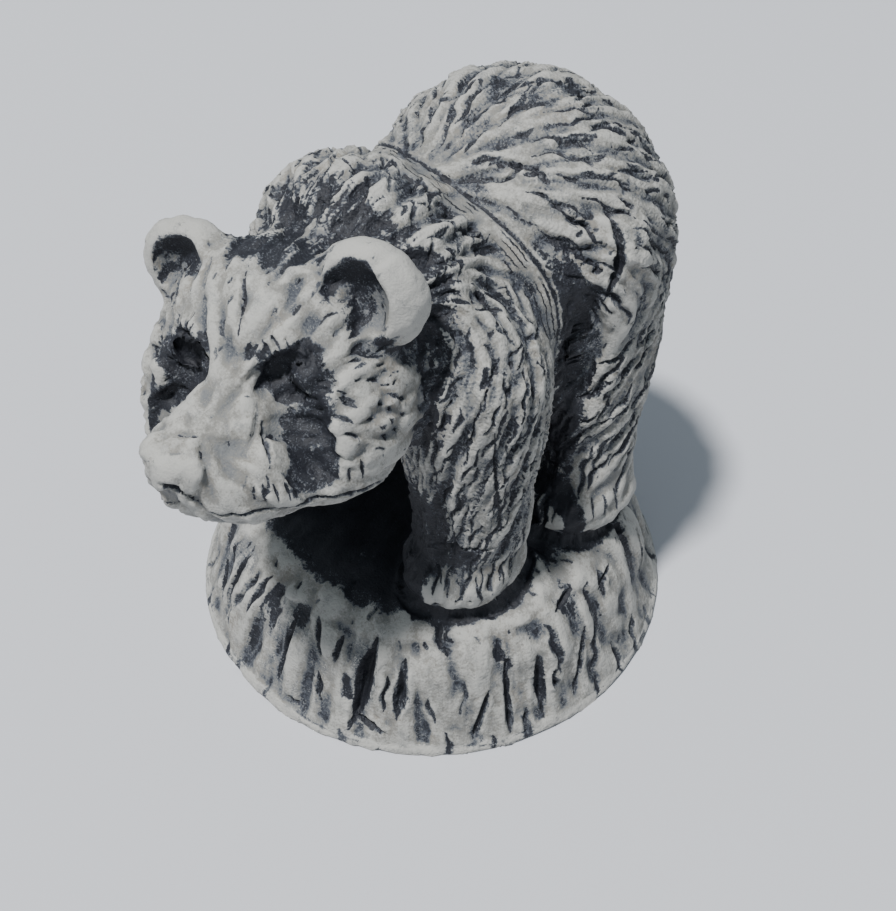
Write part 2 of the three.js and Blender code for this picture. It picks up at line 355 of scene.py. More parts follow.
def carving_tree():
    """Presses the strokes of another object into a skin and keeps how deep each point lies in one."""
    tree = bpy.data.node_groups.new("Carved strokes", "GeometryNodeTree")
    tree.is_modifier = True
    sockets(tree, "INPUT", [
        ("Geometry", "Geometry", None),
        ("Strokes", "Object", None),
        ("Depth", "Float", 1.0),
        ("Lip", "Float", 0.25),
        ("Unevenness", "Float", 0.5),
        ("Unevenness size", "Float", 3.0),
        ("Material", "Material", None),
    ])
    sockets(tree, "OUTPUT", [("Geometry", "Geometry", None)])
    g = Graph(tree)
    given = g.add("NodeGroupInput").outputs
    strokes = g.add("GeometryNodeObjectInfo", {"Object": given["Strokes"]}).outputs["Geometry"]
    place = g.add("GeometryNodeInputPosition").outputs[0]
    sought = {"Geometry": strokes, "Sample Position": place}
    near = g.add("GeometryNodeProximity", sought, target_element="EDGES")
    index = g.add("GeometryNodeSampleNearest", sought).outputs[0]

    def named(name, kind="FLOAT"):
        return g.add("GeometryNodeInputNamedAttribute", {"Name": name}, data_type=kind).outputs[0]

    def of_stroke(name):
        sample = {"Geometry": strokes, "Value": named(name), "Index": index}
        return g.add("GeometryNodeSampleIndex", sample).outputs[0]

    away = g.math("DIVIDE", near.outputs["Distance"], g.math("MAXIMUM", of_stroke("half_width"), 0.02))
    groove = g.ramp(away, 0.0, 1.0, 1.0, 0.0)
    lip = g.times(g.ramp(away, 0.7, 1.3), g.ramp(away, 1.5, 2.6, 1.0, 0.0))
    fall = g.minus(groove, g.times(lip, given["Lip"]))
    depth = g.times(of_stroke("depth"), given["Depth"])
    uneven = g.noise(place, g.math("DIVIDE", 1.0, given["Unevenness size"]), 3.0, 0.6)
    uneven = g.times(g.minus(uneven, 0.5), given["Unevenness"])
    finer = g.math("DIVIDE", 1.0, g.math("MAXIMUM", named("strand_width"), 0.2))
    shares = [n / (2 * STRAND_SAMPLES) for n in range(-STRAND_SAMPLES, STRAND_SAMPLES + 1)]
    strand_length = named("strand_length")
    steps = [g.times(strand_length, part) for part in shares]
    strand = g.drawn_out(place, named("lie", "FLOAT_VECTOR"), steps, finer, 2.0)
    strand = g.times(g.minus(strand, 0.5), STRAND_GAIN)
    ridge = g.minus(g.ramp(strand, -1.6, 1.2), RIDGE_BED)
    ridge = g.times(ridge, named("strand_height"))
    height = g.plus(g.minus(uneven, g.times(fall, depth)), ridge)
    above = g.ramp(g.add("ShaderNodeSeparateXYZ", {"Vector": place}).outputs["Z"], 0.3, 2.5)
    height = g.times(height, above)
    offset = g.scaled(g.add("GeometryNodeInputNormal").outputs[0], height)
    skin = given["Geometry"]
    closeness = g.minus(1.0, g.times(g.math("MINIMUM", away, 2.0), 0.5))
    for name, value in (("stroke", closeness), ("ink", of_stroke("dark")), ("strand", strand)):
        inputs = {"Geometry": skin, "Name": name, "Value": value}
        skin = g.add("GeometryNodeStoreNamedAttribute", inputs, data_type="FLOAT", domain="POINT").outputs[0]
    moved = g.add("GeometryNodeSetPosition", {"Geometry": skin, "Offset": offset})
    real = g.add("GeometryNodeRealizeInstances", {"Geometry": moved.outputs[0]})
    done = g.add("GeometryNodeSetMaterial", {"Geometry": real.outputs[0], "Material": given["Material"]})
    g.add("NodeGroupOutput", {"Geometry": done.outputs[0]})
    return tree


def add_carving(piece, tree, values):
    """Adds the tree as a modifier, with its inputs set by their identifiers."""
    modifier = piece.modifiers.new("Carving", "NODES")
    modifier.node_group = tree
    for item in tree.interface.items_tree:
        if item.item_type == "SOCKET" and item.in_out == "INPUT" and item.name in values:
            modifier[item.identifier] = values[item.name]


# Strokes of the chisel
class Strokes:
    """Polylines on the skin, each point with a half width, a depth and how much wash it holds."""

    def __init__(self):
        self.points, self.edges, self.half_width, self.depth, self.dark = [], [], [], [], []

    def add(self, line, half_width, depth, dark=1.0):
        """Adds one stroke that swells in the middle and runs out at both ends."""
        count = len(line)
        first = len(self.points)
        t = np.linspace(0, 1, count)
        swell = np.maximum(np.sin(np.pi * t), 0.04) ** 0.6 * (1 + 0.2 * np.sin(9 * t + first))
        self.points.extend(map(tuple, line))
        self.edges.extend((first + n, first + n + 1) for n in range(count - 1))
        self.half_width.extend(half_width * swell)
        self.depth.extend(depth * swell)
        self.dark.extend(np.full(count, dark))

    def as_object(self, name):
        mesh = bpy.data.meshes.new(name)
        mesh.from_pydata(self.points, self.edges, [])
        for attribute in ("half_width", "depth", "dark"):
            write_attribute(mesh, attribute, np.array(getattr(self, attribute)))
        made = add_object(name, mesh)
        made.hide_render = True
        return made


def drawn(points, frame_of="world", step=DRAWN_STEP):
    """A smooth line through a few chosen points, laid on the skin."""
    p = np.array(points, float)
    if frame_of == "head":
        p = p @ HEAD_TURN.T + HEAD_AT
    lengths = np.r_[0, np.cumsum(np.linalg.norm(np.diff(p, axis=0), axis=1))]
    count = max(4, int(lengths[-1] / step))
    at = np.linspace(0, lengths[-1], count)
    line = np.column_stack([np.interp(at, lengths, p[:, axis]) for axis in range(3)])
    for _ in range(int(DRAWN_SOFTNESS / step)):
        line[1:-1] = (line[:-2] + 2 * line[1:-1] + line[2:]) / 4
    return settle(figure, line, 4)


def parts_of(p):
    """The distances to head, body and mound. A point belongs to the nearest of them."""
    return head(p), body(p), mound(p)


def lie(p, normal):
    """The way the coat lies at each point, as a unit vector along the skin."""
    d_head, d_body, d_mound = parts_of(p)
    side = np.sign(p[:, :1] + 1e-6)
    nose = HEAD_AT + HEAD_TURN @ np.array([0, -14.0, 0])
    from_nose = unit(p - nose)
    from_spine = unit(p - np.array([0, -5.0, 60.0]))
    lean = np.where(behind_mantle(p) > 0, -1.3, -0.45)
    down = unit(np.column_stack((0 * lean, lean, 0 * lean - 1)))
    mantle = smoothstep(-behind_mantle(p), -0.5, 1.5)[:, None]
    low = smoothstep(-p[:, 2], -50, -39)[:, None] * 0.9
    rear = unit(from_spine * (1 - low) + down * low)
    from_nape = unit(p - (HEAD_AT + np.array([0, 4.0, 0])))
    fore_low = smoothstep(-p[:, 2], -55, -46)[:, None]
    fore = unit(from_nape * (1 - fore_low) + down * fore_low)
    flow = rear * (1 - mantle) + fore * mantle
    flow = np.where((d_head < d_body)[:, None], from_nose, flow)
    wall = unit(np.column_stack((0.05 * side[:, 0], 0 * p[:, 0], -1 + 0 * p[:, 0])))
    out = unit(np.column_stack((p[:, 0], p[:, 1], -0.4 * np.hypot(p[:, 0], p[:, 1]))))
    on_wall = smoothstep(np.abs(normal[:, 2]) * -1, -0.75, -0.4)[:, None]
    on_mound = (d_mound < np.minimum(d_head, d_body))[:, None]
    flow = np.where(on_mound, wall * on_wall + out * (1 - on_wall), flow)
    flow = flow - normal * (flow * normal).sum(1, keepdims=True)
    return unit(flow)


def scattered(starts, normals, across, along):
    """Picks starts that keep their distance from each other, further along the coat than across it."""
    flow = lie(starts, normals)
    cross = np.cross(normals, flow)
    kept = []
    for n in range(len(starts)):
        if kept:
            away = starts[kept] - starts[n]
            u = (away * cross[n]).sum(1) / across[n]
            v = (away * flow[n]).sum(1) / along[n]
            w = (away * normals[n]).sum(1) / across[n]
            if (u * u + v * v + w * w).min() < 1:
                continue
        kept.append(n)
    return np.array(kept)


def trace(starts, lengths, turns, lean, waves):
    """Draws a line from each start along the coat, all at once. Each bends by its own turn and wavers."""
    step = TRACE_STEP
    count = int(np.ceil(lengths.max() / step)) + 1
    p = starts.copy()
    lines = [p.copy()]
    for n in range(count):
        angle = lean + turns * step * n + WAVER * np.sin(waves + step * n * WAVER_TURN)
        _, g = slopes(figure, p)
        normal = unit(g)
        flow = lie(p, normal)
        cross = np.cross(normal, flow)
        way = flow * np.cos(angle)[:, None] + cross * np.sin(angle)[:, None]
        p = settle(figure, p + way * step, 1)
        lines.append(p.copy())
    stacked = np.stack(lines, 1)
    return [stacked[n, : max(4, int(lengths[n] / step) + 1)] for n in range(len(starts))]


# The cuts of each part of the coat and of the mound
@dataclass
class Coat:
    """One kind of cut: sizes in millimetres, angles in radians, and how much wash it holds."""

    place: str
    across: float
    along: float
    length: tuple
    half_width: tuple
    depth: tuple
    bend: float
    lean: float
    ink: tuple
    strand_length: float
    strand_height: float
    strand_ink: float
    strand_width: float = FINE_STRAND


COATS = (
    Coat("rump", 1.6, 3.8, (2.5, 8.0), (0.20, 0.46), (0.25, 0.55), 0.14, 0.26, (0.8, 1.0), 7.5, 0.85, 0.95),
    Coat("hump", 1.6, 2.4, (1.2, 4.5), (0.18, 0.40), (0.2, 0.5), 0.50, 0.9, (0.7, 1.0), 2.8, 0.85, 0.8),
    Coat("foreleg", 1.3, 4.2, (3.0, 9.0), (0.15, 0.34), (0.25, 0.5), 0.09, 0.22, (0.8, 1.0), 8.0, 0.9, 0.95),
    Coat("mantle", 4.0, 6.0, (1.0, 2.0), (0.12, 0.18), (0.1, 0.2), 0.2, 0.4, (0.4, 0.9), 3.0, 0.3, 0.2),
    Coat("thigh", 2.4, 3.2, (0.8, 2.4), (0.12, 0.22), (0.1, 0.25), 0.2, 0.4, (0.4, 0.9), 4.0, 0.5, 0.2),
    Coat("patch", 1.5, 1.5, (0.5, 1.1), (0.14, 0.30), (0.2, 0.4), 0.6, 1.5, (0.7, 1.0), 1.8, 0.6, 0.5),
    Coat("brow", 1.9, 2.8, (0.8, 2.4), (0.14, 0.30), (0.15, 0.35), 0.1, 0.25, (0.5, 1.0), 2.2, 0.6, 0.3),
    Coat("cheek", 1.25, 1.9, (0.5, 1.7), (0.15, 0.32), (0.15, 0.42), 0.3, 0.4, (0.6, 1.0), 1.6, 0.55, 0.25),
    Coat("ruff", 3.0, 4.5, (1.0, 3.0), (0.10, 0.18), (0.08, 0.16), 0.2, 0.4, (0.2, 0.8), 3.0, 0.35, 0.15),
    Coat("muzzle", 2.6, 3.6, (0.8, 3.0), (0.12, 0.26), (0.08, 0.2), 0.3, 0.9, (0.1, 0.6), 2.6, 0.6, 0.1),
    Coat("ear", 2.6, 3.0, (0.6, 1.6), (0.10, 0.16), (0.05, 0.12), 0.3, 0.9, (0.2, 0.6), 1.5, 0.12, 0.1),
    Coat("nape", 1.3, 2.8, (1.5, 4.0), (0.15, 0.32), (0.15, 0.35), 0.15, 0.3, (0.7, 1.0), 3.4, 0.8, 0.9),
    Coat("paw", 9.0, 9.0, (0.8, 1.2), (0.12, 0.16), (0.1, 0.2), 0.1, 0.2, (0.5, 1.0), 2.0, 0.35, 0.2),
    Coat("wall", 5.4, 9.5, (3.0, 8.0), (0.25, 0.8), (0.3, 0.9), 0.07, 0.30, (0.6, 1.0), 8.5, 1.1, 0.66, 2.9),
    Coat("rim", 4.0, 5.0, (0.8, 2.4), (0.16, 0.34), (0.1, 0.3), 0.2, 0.5, (0.4, 0.9), 3.5, 0.5, 0.2, 2.9),
)

# The strands of the places that have no row above
PLAIN_STRANDS = {"strand_length": 4.0, "strand_width": FINE_STRAND, "strand_height": 0.35, "strand_ink": 0.5}

# A light patch with pits behind the shoulder, and the ridge down the front of the thigh
PITTED_PATCH = ([14.4, 8.9, 52.0], [3.2, 2.5, 3.8])
THIGH_RIDGE = ([16.9, 10.0, 45.4], [2.6, 2.2, 5.8])


def place_of(p, normal):
    """The name of the place that each point lies in, from limits in millimetres."""
    d_head, d_body, d_mound = parts_of(p)
    q = in_head(p)
    place = np.full(len(p), "rump", dtype=object)
    front = behind_mantle(p) < -0.8
    place[front & (p[:, 2] > 47)] = "hump"
    place[front & (p[:, 2] <= 47)] = "foreleg"
    place[(np.abs(behind_mantle(p) + 0.7) < 1.15) & (p[:, 2] > 44)] = "mantle"
    m = both_sides(p)
    place[(ellipsoid(m, *PITTED_PATCH) < 0.4) & ~front] = "patch"
    place[ellipsoid(m, *THIGH_RIDGE) < 0.2] = "thigh"
    on_head = d_head < d_body
    place[on_head] = "cheek"
    place[on_head & (q[:, 2] > 3.0)] = "brow"
    place[on_head & (q[:, 1] > 1.5) & (q[:, 2] > 0)] = "nape"
    behind_cheek = (np.abs(q[:, 0]) > 10.3) & (q[:, 1] > -2.5) & (q[:, 2] < 4)
    jaw = q[:, 2] < np.where(np.abs(q[:, 0]) > 8.5, -4.0, -5.8)
    place[on_head & (behind_cheek | (jaw & (q[:, 1] > -9)))] = "ruff"
    place[on_head & (q[:, 1] < -9.0)] = "muzzle"
    place[on_head & (ears(q) < 0.4)] = "ear"
    hind_top = np.where(m[:, 0] > 14.5, 26.0, 21.5)
    place[~on_head & (p[:, 2] < np.where(p[:, 1] < -1, 22.8, hind_top))] = "paw"
    on_mound = d_mound < np.minimum(d_head, d_body)
    place[on_mound] = "rim"
    place[on_mound & (normal[:, 2] < 0.7)] = "wall"
    place[(p[:, 2] < 0.6) | (normal[:, 2] < -0.6)] = "under"
    return place


def mantle_line(offset, side_angle):
    """A line across the back that keeps its distance from the mantle's rear edge."""
    angle = np.radians(np.linspace(-side_angle, side_angle, 90))
    p = np.column_stack((17 * np.sin(angle), 0 * angle, 42 + 17 * np.cos(angle)))
    for _ in range(8):
        p[:, 1] -= behind_mantle(p) - offset
        p = settle(figure, p, 2)
    return p


def softened(values, around, rounds):
    """The values after some rounds of taking the mean of their neighbours."""
    for _ in range(rounds):
        values = around(values)
    return values


def comb(mesh, skin, normals, place):
    """Keeps on the skin how the coat lies and the size of its strands, softened where places meet."""
    attribute = mesh.attributes.new("lie", "FLOAT_VECTOR", "POINT")
    attribute.data.foreach_set("vector", lie(skin, normals).astype(np.float32).ravel())
    around = neighbours(mesh)
    for size, plain in PLAIN_STRANDS.items():
        values = np.full(len(skin), plain)
        for coat in COATS:
            values[place == coat.place] = getattr(coat, size)
        write_attribute(mesh, size, softened(values, around, STRAND_ROUNDS))
    seam = (place == "mantle").astype(float)
    write_attribute(mesh, "seam", softened(seam, around, SEAM_ROUNDS))
    write_attribute(mesh, "rear", behind_mantle(skin))


def set_strokes(strokes, rng):
    """Adds the strokes that have a place of their own."""
    for offset, side_angle, half_width, depth in MANTLE_CUTS:
        strokes.add(mantle_line(offset, side_angle), half_width, depth)
    for points, half_width, depth, ink in FACE_LINES:
        strokes.add(drawn(points, "head"), half_width, depth, ink)
    for line in lashes(rng):
        strokes.add(line, rng.uniform(0.16, 0.3), 0.35, rng.uniform(0.8, 1.0))
    for points, half_width, depth in BODY_LINES:
        for side in (-1, 1):
            strokes.add(drawn(np.array(points) * (side, 1, 1)), half_width, depth)
    for gouge in GOUGES:
        strokes.add(gouge.line(), gouge.half_width, gouge.depth)
    for line in lip_cuts(rng):
        strokes.add(line, rng.uniform(0.16, 0.28), 0.3)
    for side in (-1, 1):
        for paw in (FORE_PAW, HIND_PAW):
            for line in toe_lines(paw, side, rng):
                strokes.add(line, rng.uniform(0.14, 0.3), 0.25, rng.uniform(0.6, 1.0))


def coat_strokes(strokes, rng, skin, normals, place, spacing):
    """Scatters the cuts of each kind of coat, clear of the strokes that are there already."""
    set_lines = np.array(strokes.points)
    for coat in COATS:
        rows = np.flatnonzero(place == coat.place)
        rows = rng.permutation(rows)[:MOST_STARTS]
        near = np.array([np.abs(set_lines - p).sum(1).min() for p in skin[rows]])
        rows = rows[near > CLEAR_OF_LINES]
        starts, up = skin[rows], normals[rows]
        count = len(rows)
        across = coat.across * spacing * rng.uniform(0.5, 1.6, count)
        along = coat.along * spacing * rng.uniform(0.5, 1.6, count)
        kept = scattered(starts, up, across, along)
        count = len(kept)
        lengths = rng.uniform(*coat.length, count)
        bends = rng.uniform(-coat.bend, coat.bend, count)
        leans = rng.uniform(-coat.lean, coat.lean, count)
        waves = rng.uniform(0, 2 * math.pi, count)
        for line in trace(starts[kept], lengths, bends, leans, waves):
            strokes.add(line, *(rng.uniform(*limits) for limits in (coat.half_width, coat.depth, coat.ink)))


def all_strokes(skin, normals, place, values):
    rng = np.random.default_rng(values.seed)
    strokes = Strokes()
    set_strokes(strokes, rng)
    coat_strokes(strokes, rng, skin, normals, place, values.spacing)
    return strokes


# Cuts along the mantle's rear edge: distance behind it, degrees down each side, half width, depth
MANTLE_CUTS = ((0.35, 100, 0.3, 0.35), (-2.0, 80, 0.2, 0.35))


# Lines that the face has one of: points in the head's frame, half width, depth and wash
FACE_LINES = (
    ([(0.0, -2.0, 10.2), (0.0, -3.1, 9.9), (1.0, -5.6, 8.6), (1.4, -8.1, 5.8)], 0.17, 0.35, 1.0),
    ([(0.1, -17.7, -3.3), (0.8, -17.3, -4.9), (2.0, -16.8, -5.6), (5.3, -15.3, -5.8), (9.6, -10.0, -7.0),
      (11.2, -6.4, -7.4), (11.6, 0.6, -9.4)], 0.24, 0.45, 1.0),
    ([(0.0, -17.7, -3.4), (-1.6, -17.0, -5.4), (-4.2, -15.0, -6.4), (-8.8, -9.0, -7.6), (-11.0, 0.0, -9.8)],
     0.24, 0.45, 1.0),
    ([(-1.9, -17.8, -2.0), (-0.9, -17.9, -2.5), (0.0, -17.8, -3.0), (0.6, -17.4, -4.4)], 0.6, 0.8, 1.0),
    ([(-1.7, -15.0, 1.2), (-0.4, -14.8, 1.1), (0.9, -14.6, 0.7)], 0.2, 0.35, 0.9),
    ([(0.9, -14.6, 0.7), (1.8, -15.6, -0.6), (1.5, -16.8, -2.4)], 0.5, 0.4, 0.3),
    ([(3.9, -10.3, 0.4), (4.4, -11.2, -0.6), (5.4, -12.4, -1.6), (5.7, -13.2, -2.8)], 0.3, 0.35, 0.7),
    ([(2.3, -9.4, 1.2), (3.0, -10.4, 0.5), (3.6, -11.6, -0.5), (3.9, -13.2, -1.6)], 0.32, 0.3, 0.3),
    ([(1.4, -11.8, 1.2), (2.2, -12.8, 0.4), (2.8, -14.2, -0.8)], 0.26, 0.25, 0.25),
    ([(3.2, -15.4, -2.4), (4.4, -15.0, -3.2), (5.0, -14.6, -4.4)], 0.3, 0.25, 0.2),
    ([(-1.6, -12.4, 1.2), (-0.9, -13.4, 1.0), (-0.6, -14.3, 0.8)], 0.26, 0.22, 0.2),
    ([(5.6, -13.4, -2.2), (5.9, -13.6, -3.2), (5.6, -14.0, -4.4)], 0.16, 0.25, 0.9),
)


# Lines that each side of the body has one of: points, half width and depth, in millimetres
BODY_LINES = (
    ([(10.4, -10.4, 21.9), (13.2, -11.0, 23.4), (16.1, -10.0, 24.8), (18.5, -5.8, 24.7)], 0.3, 0.6),
    ([(13.4, 10.4, 54.8), (15.2, 10.7, 51.8), (16.1, 9.6, 49.4), (16.2, 8.2, 46.6)], 0.62, 1.0),
    ([(14.9, 8.0, 50.7), (15.1, 8.1, 50.1), (15.2, 8.1, 49.5)], 0.6, 0.7),
    ([(18.6, -7.6, 41.9), (19.0, -7.2, 34.0), (18.6, -6.2, 26.6)], 0.28, 0.5),
    ([(17.4, -11.1, 18.4), (17.5, -11.1, 18.2), (17.6, -11.1, 18.0)], 0.22, 0.3),
    ([(18.2, -9.9, 18.3), (18.3, -9.8, 18.1), (18.4, -9.8, 17.9)], 0.22, 0.3),
)


@dataclass
class Gouge:
    """A large mark down the mound: degrees from the front to the bear's left, and sizes in millimetres."""

    top_angle: float
    foot_angle: float
    top: float
    foot: float
    half_width: float
    depth: float

    def line(self):
        t = np.linspace(0, 1, 5)
        angle = np.radians(self.top_angle + (self.foot_angle - self.top_angle) * t)
        height = self.top + (self.foot - self.top) * t
        radius = MOUND_RADIUS - 0.4 * height
        return drawn(np.column_stack((radius * np.sin(angle), -radius * np.cos(angle), height)))


GOUGES = (
    Gouge(-14, -17, 13.4, 4.3, 0.42, 0.6),
    Gouge(-2, -5, 14.4, 8, 0.45, 0.6),
    Gouge(11, 9, 12, 3, 0.45, 0.7),
    Gouge(13, 17, 2.2, 2, 0.4, 0.5),
    Gouge(18, 21, 13.8, 9.2, 0.5, 0.5),
    Gouge(26, 25, 12.6, 9.2, 0.45, 0.5),
    Gouge(36, 31, 13.8, 2, 0.95, 1.2),
    Gouge(31, 40, 3.5, 2.3, 0.5, 0.7),
    Gouge(44, 42, 11.7, 4, 0.75, 1.0),
    Gouge(65, 60, 7.5, 1.4, 0.45, 0.7),
    Gouge(70, 69, 10.4, 1.2, 0.5, 0.7),
    Gouge(79, 78, 10, 1.3, 0.6, 0.8),
    Gouge(95, 87, 9.9, 2, 0.4, 0.6),
    Gouge(96, 87, 14.4, 13, 0.45, 0.5),
    Gouge(112, 103, 12.6, 11.5, 0.4, 0.5),
)


def lip_cuts(rng):
    """Short upright cuts just above the corner of the mouth."""
    lines = []
    for t in np.linspace(0, 1, 11):
        foot = np.array([5.2, -15.2, -5.0]) * (1 - t) + np.array([10.8, -7.6, -6.2]) * t
        top = foot + (rng.uniform(-0.2, 0.4), 0, rng.uniform(1.0, 2.6))
        lines.append(drawn([foot, (foot + top) / 2, top], "head", SHORT_STEP))
    return lines


def eye_band(q):
    """Distance, seen from the front, to the dark band that runs from each eye down beside the muzzle."""
    left = q[:, 0] > FACE_MIDDLE
    flat = np.column_stack((np.abs(q[:, 0] - FACE_MIDDLE), 0 * q[:, 1], q[:, 2]))
    top = limb(flat, [4.8, 0, 3.1], [6.1, 0, 0.4], 2.6, 2.7)
    corner = limb(flat, [4.2, 0, 3.8], [1.9, 0, 5.0], 1.8, 0.8)
    top = np.minimum(top, corner)
    tail = limb(flat, [6.2, 0, 0.4], [8.0, 0, -4.8], 2.7, 1.5)
    short_tail = limb(flat, [6.6, 0, 1.4], [8.8, 0, -2.2], 2.8, 1.3)
    return np.where(q[:, 1] < -2.5, np.minimum(top, np.where(left, tail, short_tail)), 9.0)


def lashes(rng):
    """Short cuts that run out from the edge of each dark band into the light cheek and brow."""
    lines = []
    for side in (-1, 1):
        for angle in np.radians(np.arange(-150, 175, 9)):
            way = np.array([math.sin(angle) * side, 0, math.cos(angle)])
            reach = np.array([3.4, 0, 3.2]) if abs(angle) < 1.9 else np.array([3.0, 0, 6.5])
            start = np.array([FACE_MIDDLE + 5.9 * side, -7.0, 2.0]) + way * reach * rng.uniform(0.85, 1.0)
            if start[2] < 0 and start[0] * side < 6:
                continue
            end = start + way * rng.uniform(0.8, 2.6) + rng.uniform(-0.3, 0.3, 3)
            lines.append(drawn([start, (start + end) / 2, end], "head", SHORT_STEP))
    return lines


def toe_lines(paw, side, rng):
    """Upright cuts between the toes of one paw."""
    (x, y, _), (across, along, _) = paw
    middle = np.array([x * side, y, MOUND_HEIGHT])
    lines = []
    for angle in np.radians(np.arange(-60, 100, 14)) * side:
        reach = np.array([math.sin(angle) * across, -math.cos(angle) * along, 0])
        foot = middle + (0, 0, rng.uniform(1.4, 2.6)) + reach
        top = middle + (0, 0, rng.uniform(4.5, 6.0)) + reach * 0.75
        lines.append(drawn([top, (top + foot) / 2 + reach * 0.1, foot]))
    return lines


# How the wash lies, with painted shade on the lower foreleg, and how far round a point its shelter is
# judged, in millimetres
SHELTER_REACHES = (0.8, 1.6, 3.2, 6.0)


def shelter(p, normal):
    """How enclosed each point is, from 0 in the open to 1 deep between masses."""
    total = np.zeros(len(p))
    for reach in SHELTER_REACHES:
        d = figure(p + normal * reach)
        total += np.clip(1 - d / reach, 0, 1)
    return total / len(SHELTER_REACHES)


def head_wash(q):
    """Wash on the head, in its own frame: eye bands, sockets, nape, and in and under the ears."""
    muzzle_foot = q[:, 1] + 8.3 - 0.95 * np.minimum(q[:, 2], 0.0)
    eye = both_sides(q - np.array([FACE_MIDDLE, 0, 0]))
    socket = smoothstep(-ellipsoid(eye, [5.7, -6.9, 4.9], [2.2, 2.0, 1.1]), -0.6, 0.4)
    bands = smoothstep(-eye_band(q), -0.9, 0.7) * smoothstep(muzzle_foot, -0.8, 0.3)
    bands *= 0.8 + 0.2 * socket
    crown = ellipsoid(q, [0.8, 4.4, 9.8], [7.4, 6.2, 4.0])
    collar = limb(q, [7, 6.4, 9], [12.6, 6.4, 5.5], 1.8, 1.5)
    collar = np.minimum(collar, limb(q, [12.6, 6.4, 5.5], [13.9, 3.4, -3], 1.5, 0.9))
    nape = 0.70 * smoothstep(-np.minimum(crown, collar), -2.6, 1.0)
    under_ear = 0.64 * smoothstep(-limb(q, [11.8, -1.4, 4.2], [13.2, 1.8, -0.6], 1.2, 1.1), -1.4, 0.8)
    left_hollow = ellipsoid(q, [9.2, -1.6, 8.2], [2.9, 2.8, 3.3])
    right_hollow = ellipsoid(q, [-8.6, -2.0, 7.2], [2.8, 2.8, 3.3])
    in_ear = smoothstep(-np.minimum(left_hollow, right_hollow), -0.8, 0.6)
    in_ear *= 0.5 + 0.36 * smoothstep(q[:, 2], 6.0, 9.0)
    return np.maximum.reduce([bands, nape, under_ear, in_ear])


def body_wash_and_shade(p):
    """Wash on the body: belly, flanks behind the mantle, the legs' inner sides and the paws, with painted
    shade on the lower foreleg below the head.
    """
    x, y, z = np.abs(p[:, 0]), p[:, 1], p[:, 2]
    belly = smoothstep(-x, -9.5, -7.5) * smoothstep(-z, -37, -33)
    flank = smoothstep(behind_mantle(p), 0.2, 1.2) * smoothstep(8.6 - 0.07 * (48 - z) - y, -0.8, 1.0)
    flank *= smoothstep(-z, -57, -48) * smoothstep(x, 7, 11)
    flank *= 1 - smoothstep(-ellipsoid(both_sides(p), *PITTED_PATCH), -0.8, 0.6)
    # Wash on the legs' inner sides, spread over the lower foreleg as painted shade below the head.
    inner = smoothstep(-x, -18, -13) * smoothstep(-z, -36, -28) * (y < 0)
    paw_top = smoothstep(z, MOUND_HEIGHT + 1.6, MOUND_HEIGHT + 8.4) * smoothstep(-z, -25.5, -24)
    paw_top *= smoothstep(-x, -19.5, -17.5) * (y < -2)
    # Painted shade: thin dark patches on the lower foreleg, below the head.
    foreleg = 0.36 * smoothstep(-z, -42, -32) * smoothstep(z, 22.5, 24.0)
    foreleg *= smoothstep(-behind_mantle(p), 0, 2)
    return np.maximum.reduce([belly, flank, inner, paw_top, foreleg])


def ground_wash(p, from_body):
    """Wash on the mound: a patch under the head and chest, and a ring round each paw."""
    patch = np.sqrt((p[:, 0] / 19) ** 2 + ((p[:, 1] + 4.5) / 14.5) ** 2)
    ground = np.maximum(smoothstep(-patch, -1.16, -0.86), smoothstep(-from_body, -3.0, -1.0))
    return ground * smoothstep(p[:, 2], 11, 13)


def painted(p):
    """The broad dark places of wash and of painted shade, from 0 where the stone is bare to 1 where they are
    full.
    """
    d_head, d_body, d_mound = parts_of(p)
    on_body = d_body < np.minimum(d_head, d_mound)
    dark = np.maximum(head_wash(in_head(p)), body_wash_and_shade(p) * on_body)
    return np.maximum(dark, ground_wash(p, d_body) * (d_mound < 1.0))


def neighbours(mesh):
    """A function that gives each point the mean of the values at the points joined to it."""
    edges = np.empty(len(mesh.edges) * 2, np.int32)
    mesh.edges.foreach_get("vertices", edges)
    a, b = edges.reshape(-1, 2).T
    points = len(mesh.vertices)
    count = np.maximum(np.bincount(a, minlength=points) + np.bincount(b, minlength=points), 1)

    def around(values):
        return (np.bincount(a, values[b], points) + np.bincount(b, values[a], points)) / count

    return around


def hollows(mesh, p, normal):
    """How far each point lies below the ground round it, in millimetres."""
    around = neighbours(mesh)
    smooth = np.column_stack([softened(p[:, axis], around, HOLLOW_ROUNDS) for axis in range(3)])
    return around(((smooth - p) * normal).sum(1))


def normals_of(mesh):
    flat = np.empty(len(mesh.vertices) * 3, np.float32)
    mesh.vertex_normals.foreach_get("vector", flat)
    return flat.reshape(-1, 3).astype(float)


def fine_hairs(g, place):
    """Fine lines along the coat, from a noise drawn out the way that the coat lies."""
    way = g.add("ShaderNodeAttribute", attribute_name="lie").outputs["Vector"]
    steps = [n * HAIR_STEP * MM for n in range(-HAIR_SAMPLES, HAIR_SAMPLES + 1)]
    return g.times(g.minus(g.drawn_out(place, way, steps, PER_MM / HAIR_WIDTH, 1.0), 0.5), -HAIR_GAIN)


# Painted lines along the mantle's rear edge: distance behind it and half width, in millimetres
MANTLE_LINES = ((-0.2, 0.09), (-0.75, 0.07), (-1.35, 0.09))


def mantle_lines(g, place, jitter):
    """Thin broken lines that follow the mantle's rear edge."""
    rear = g.attribute("rear")
    lines = None
    for offset, half_width in MANTLE_LINES:
        away = g.minus(g.plus(rear, g.times(jitter, 0.8)), offset)
        line = g.ramp(g.math("ABSOLUTE", away), 0.25 * half_width, 1.3 * half_width, 1.0, 0.0)
        lines = line if lines is None else g.math("MAXIMUM", lines, line)
    lines = g.times(lines, g.ramp(g.attribute("seam"), 0.2, 0.6))
    return g.times(lines, g.ramp(g.noise(place, 0.45 * PER_MM, 2.0, 0.6), 0.40, 0.56))


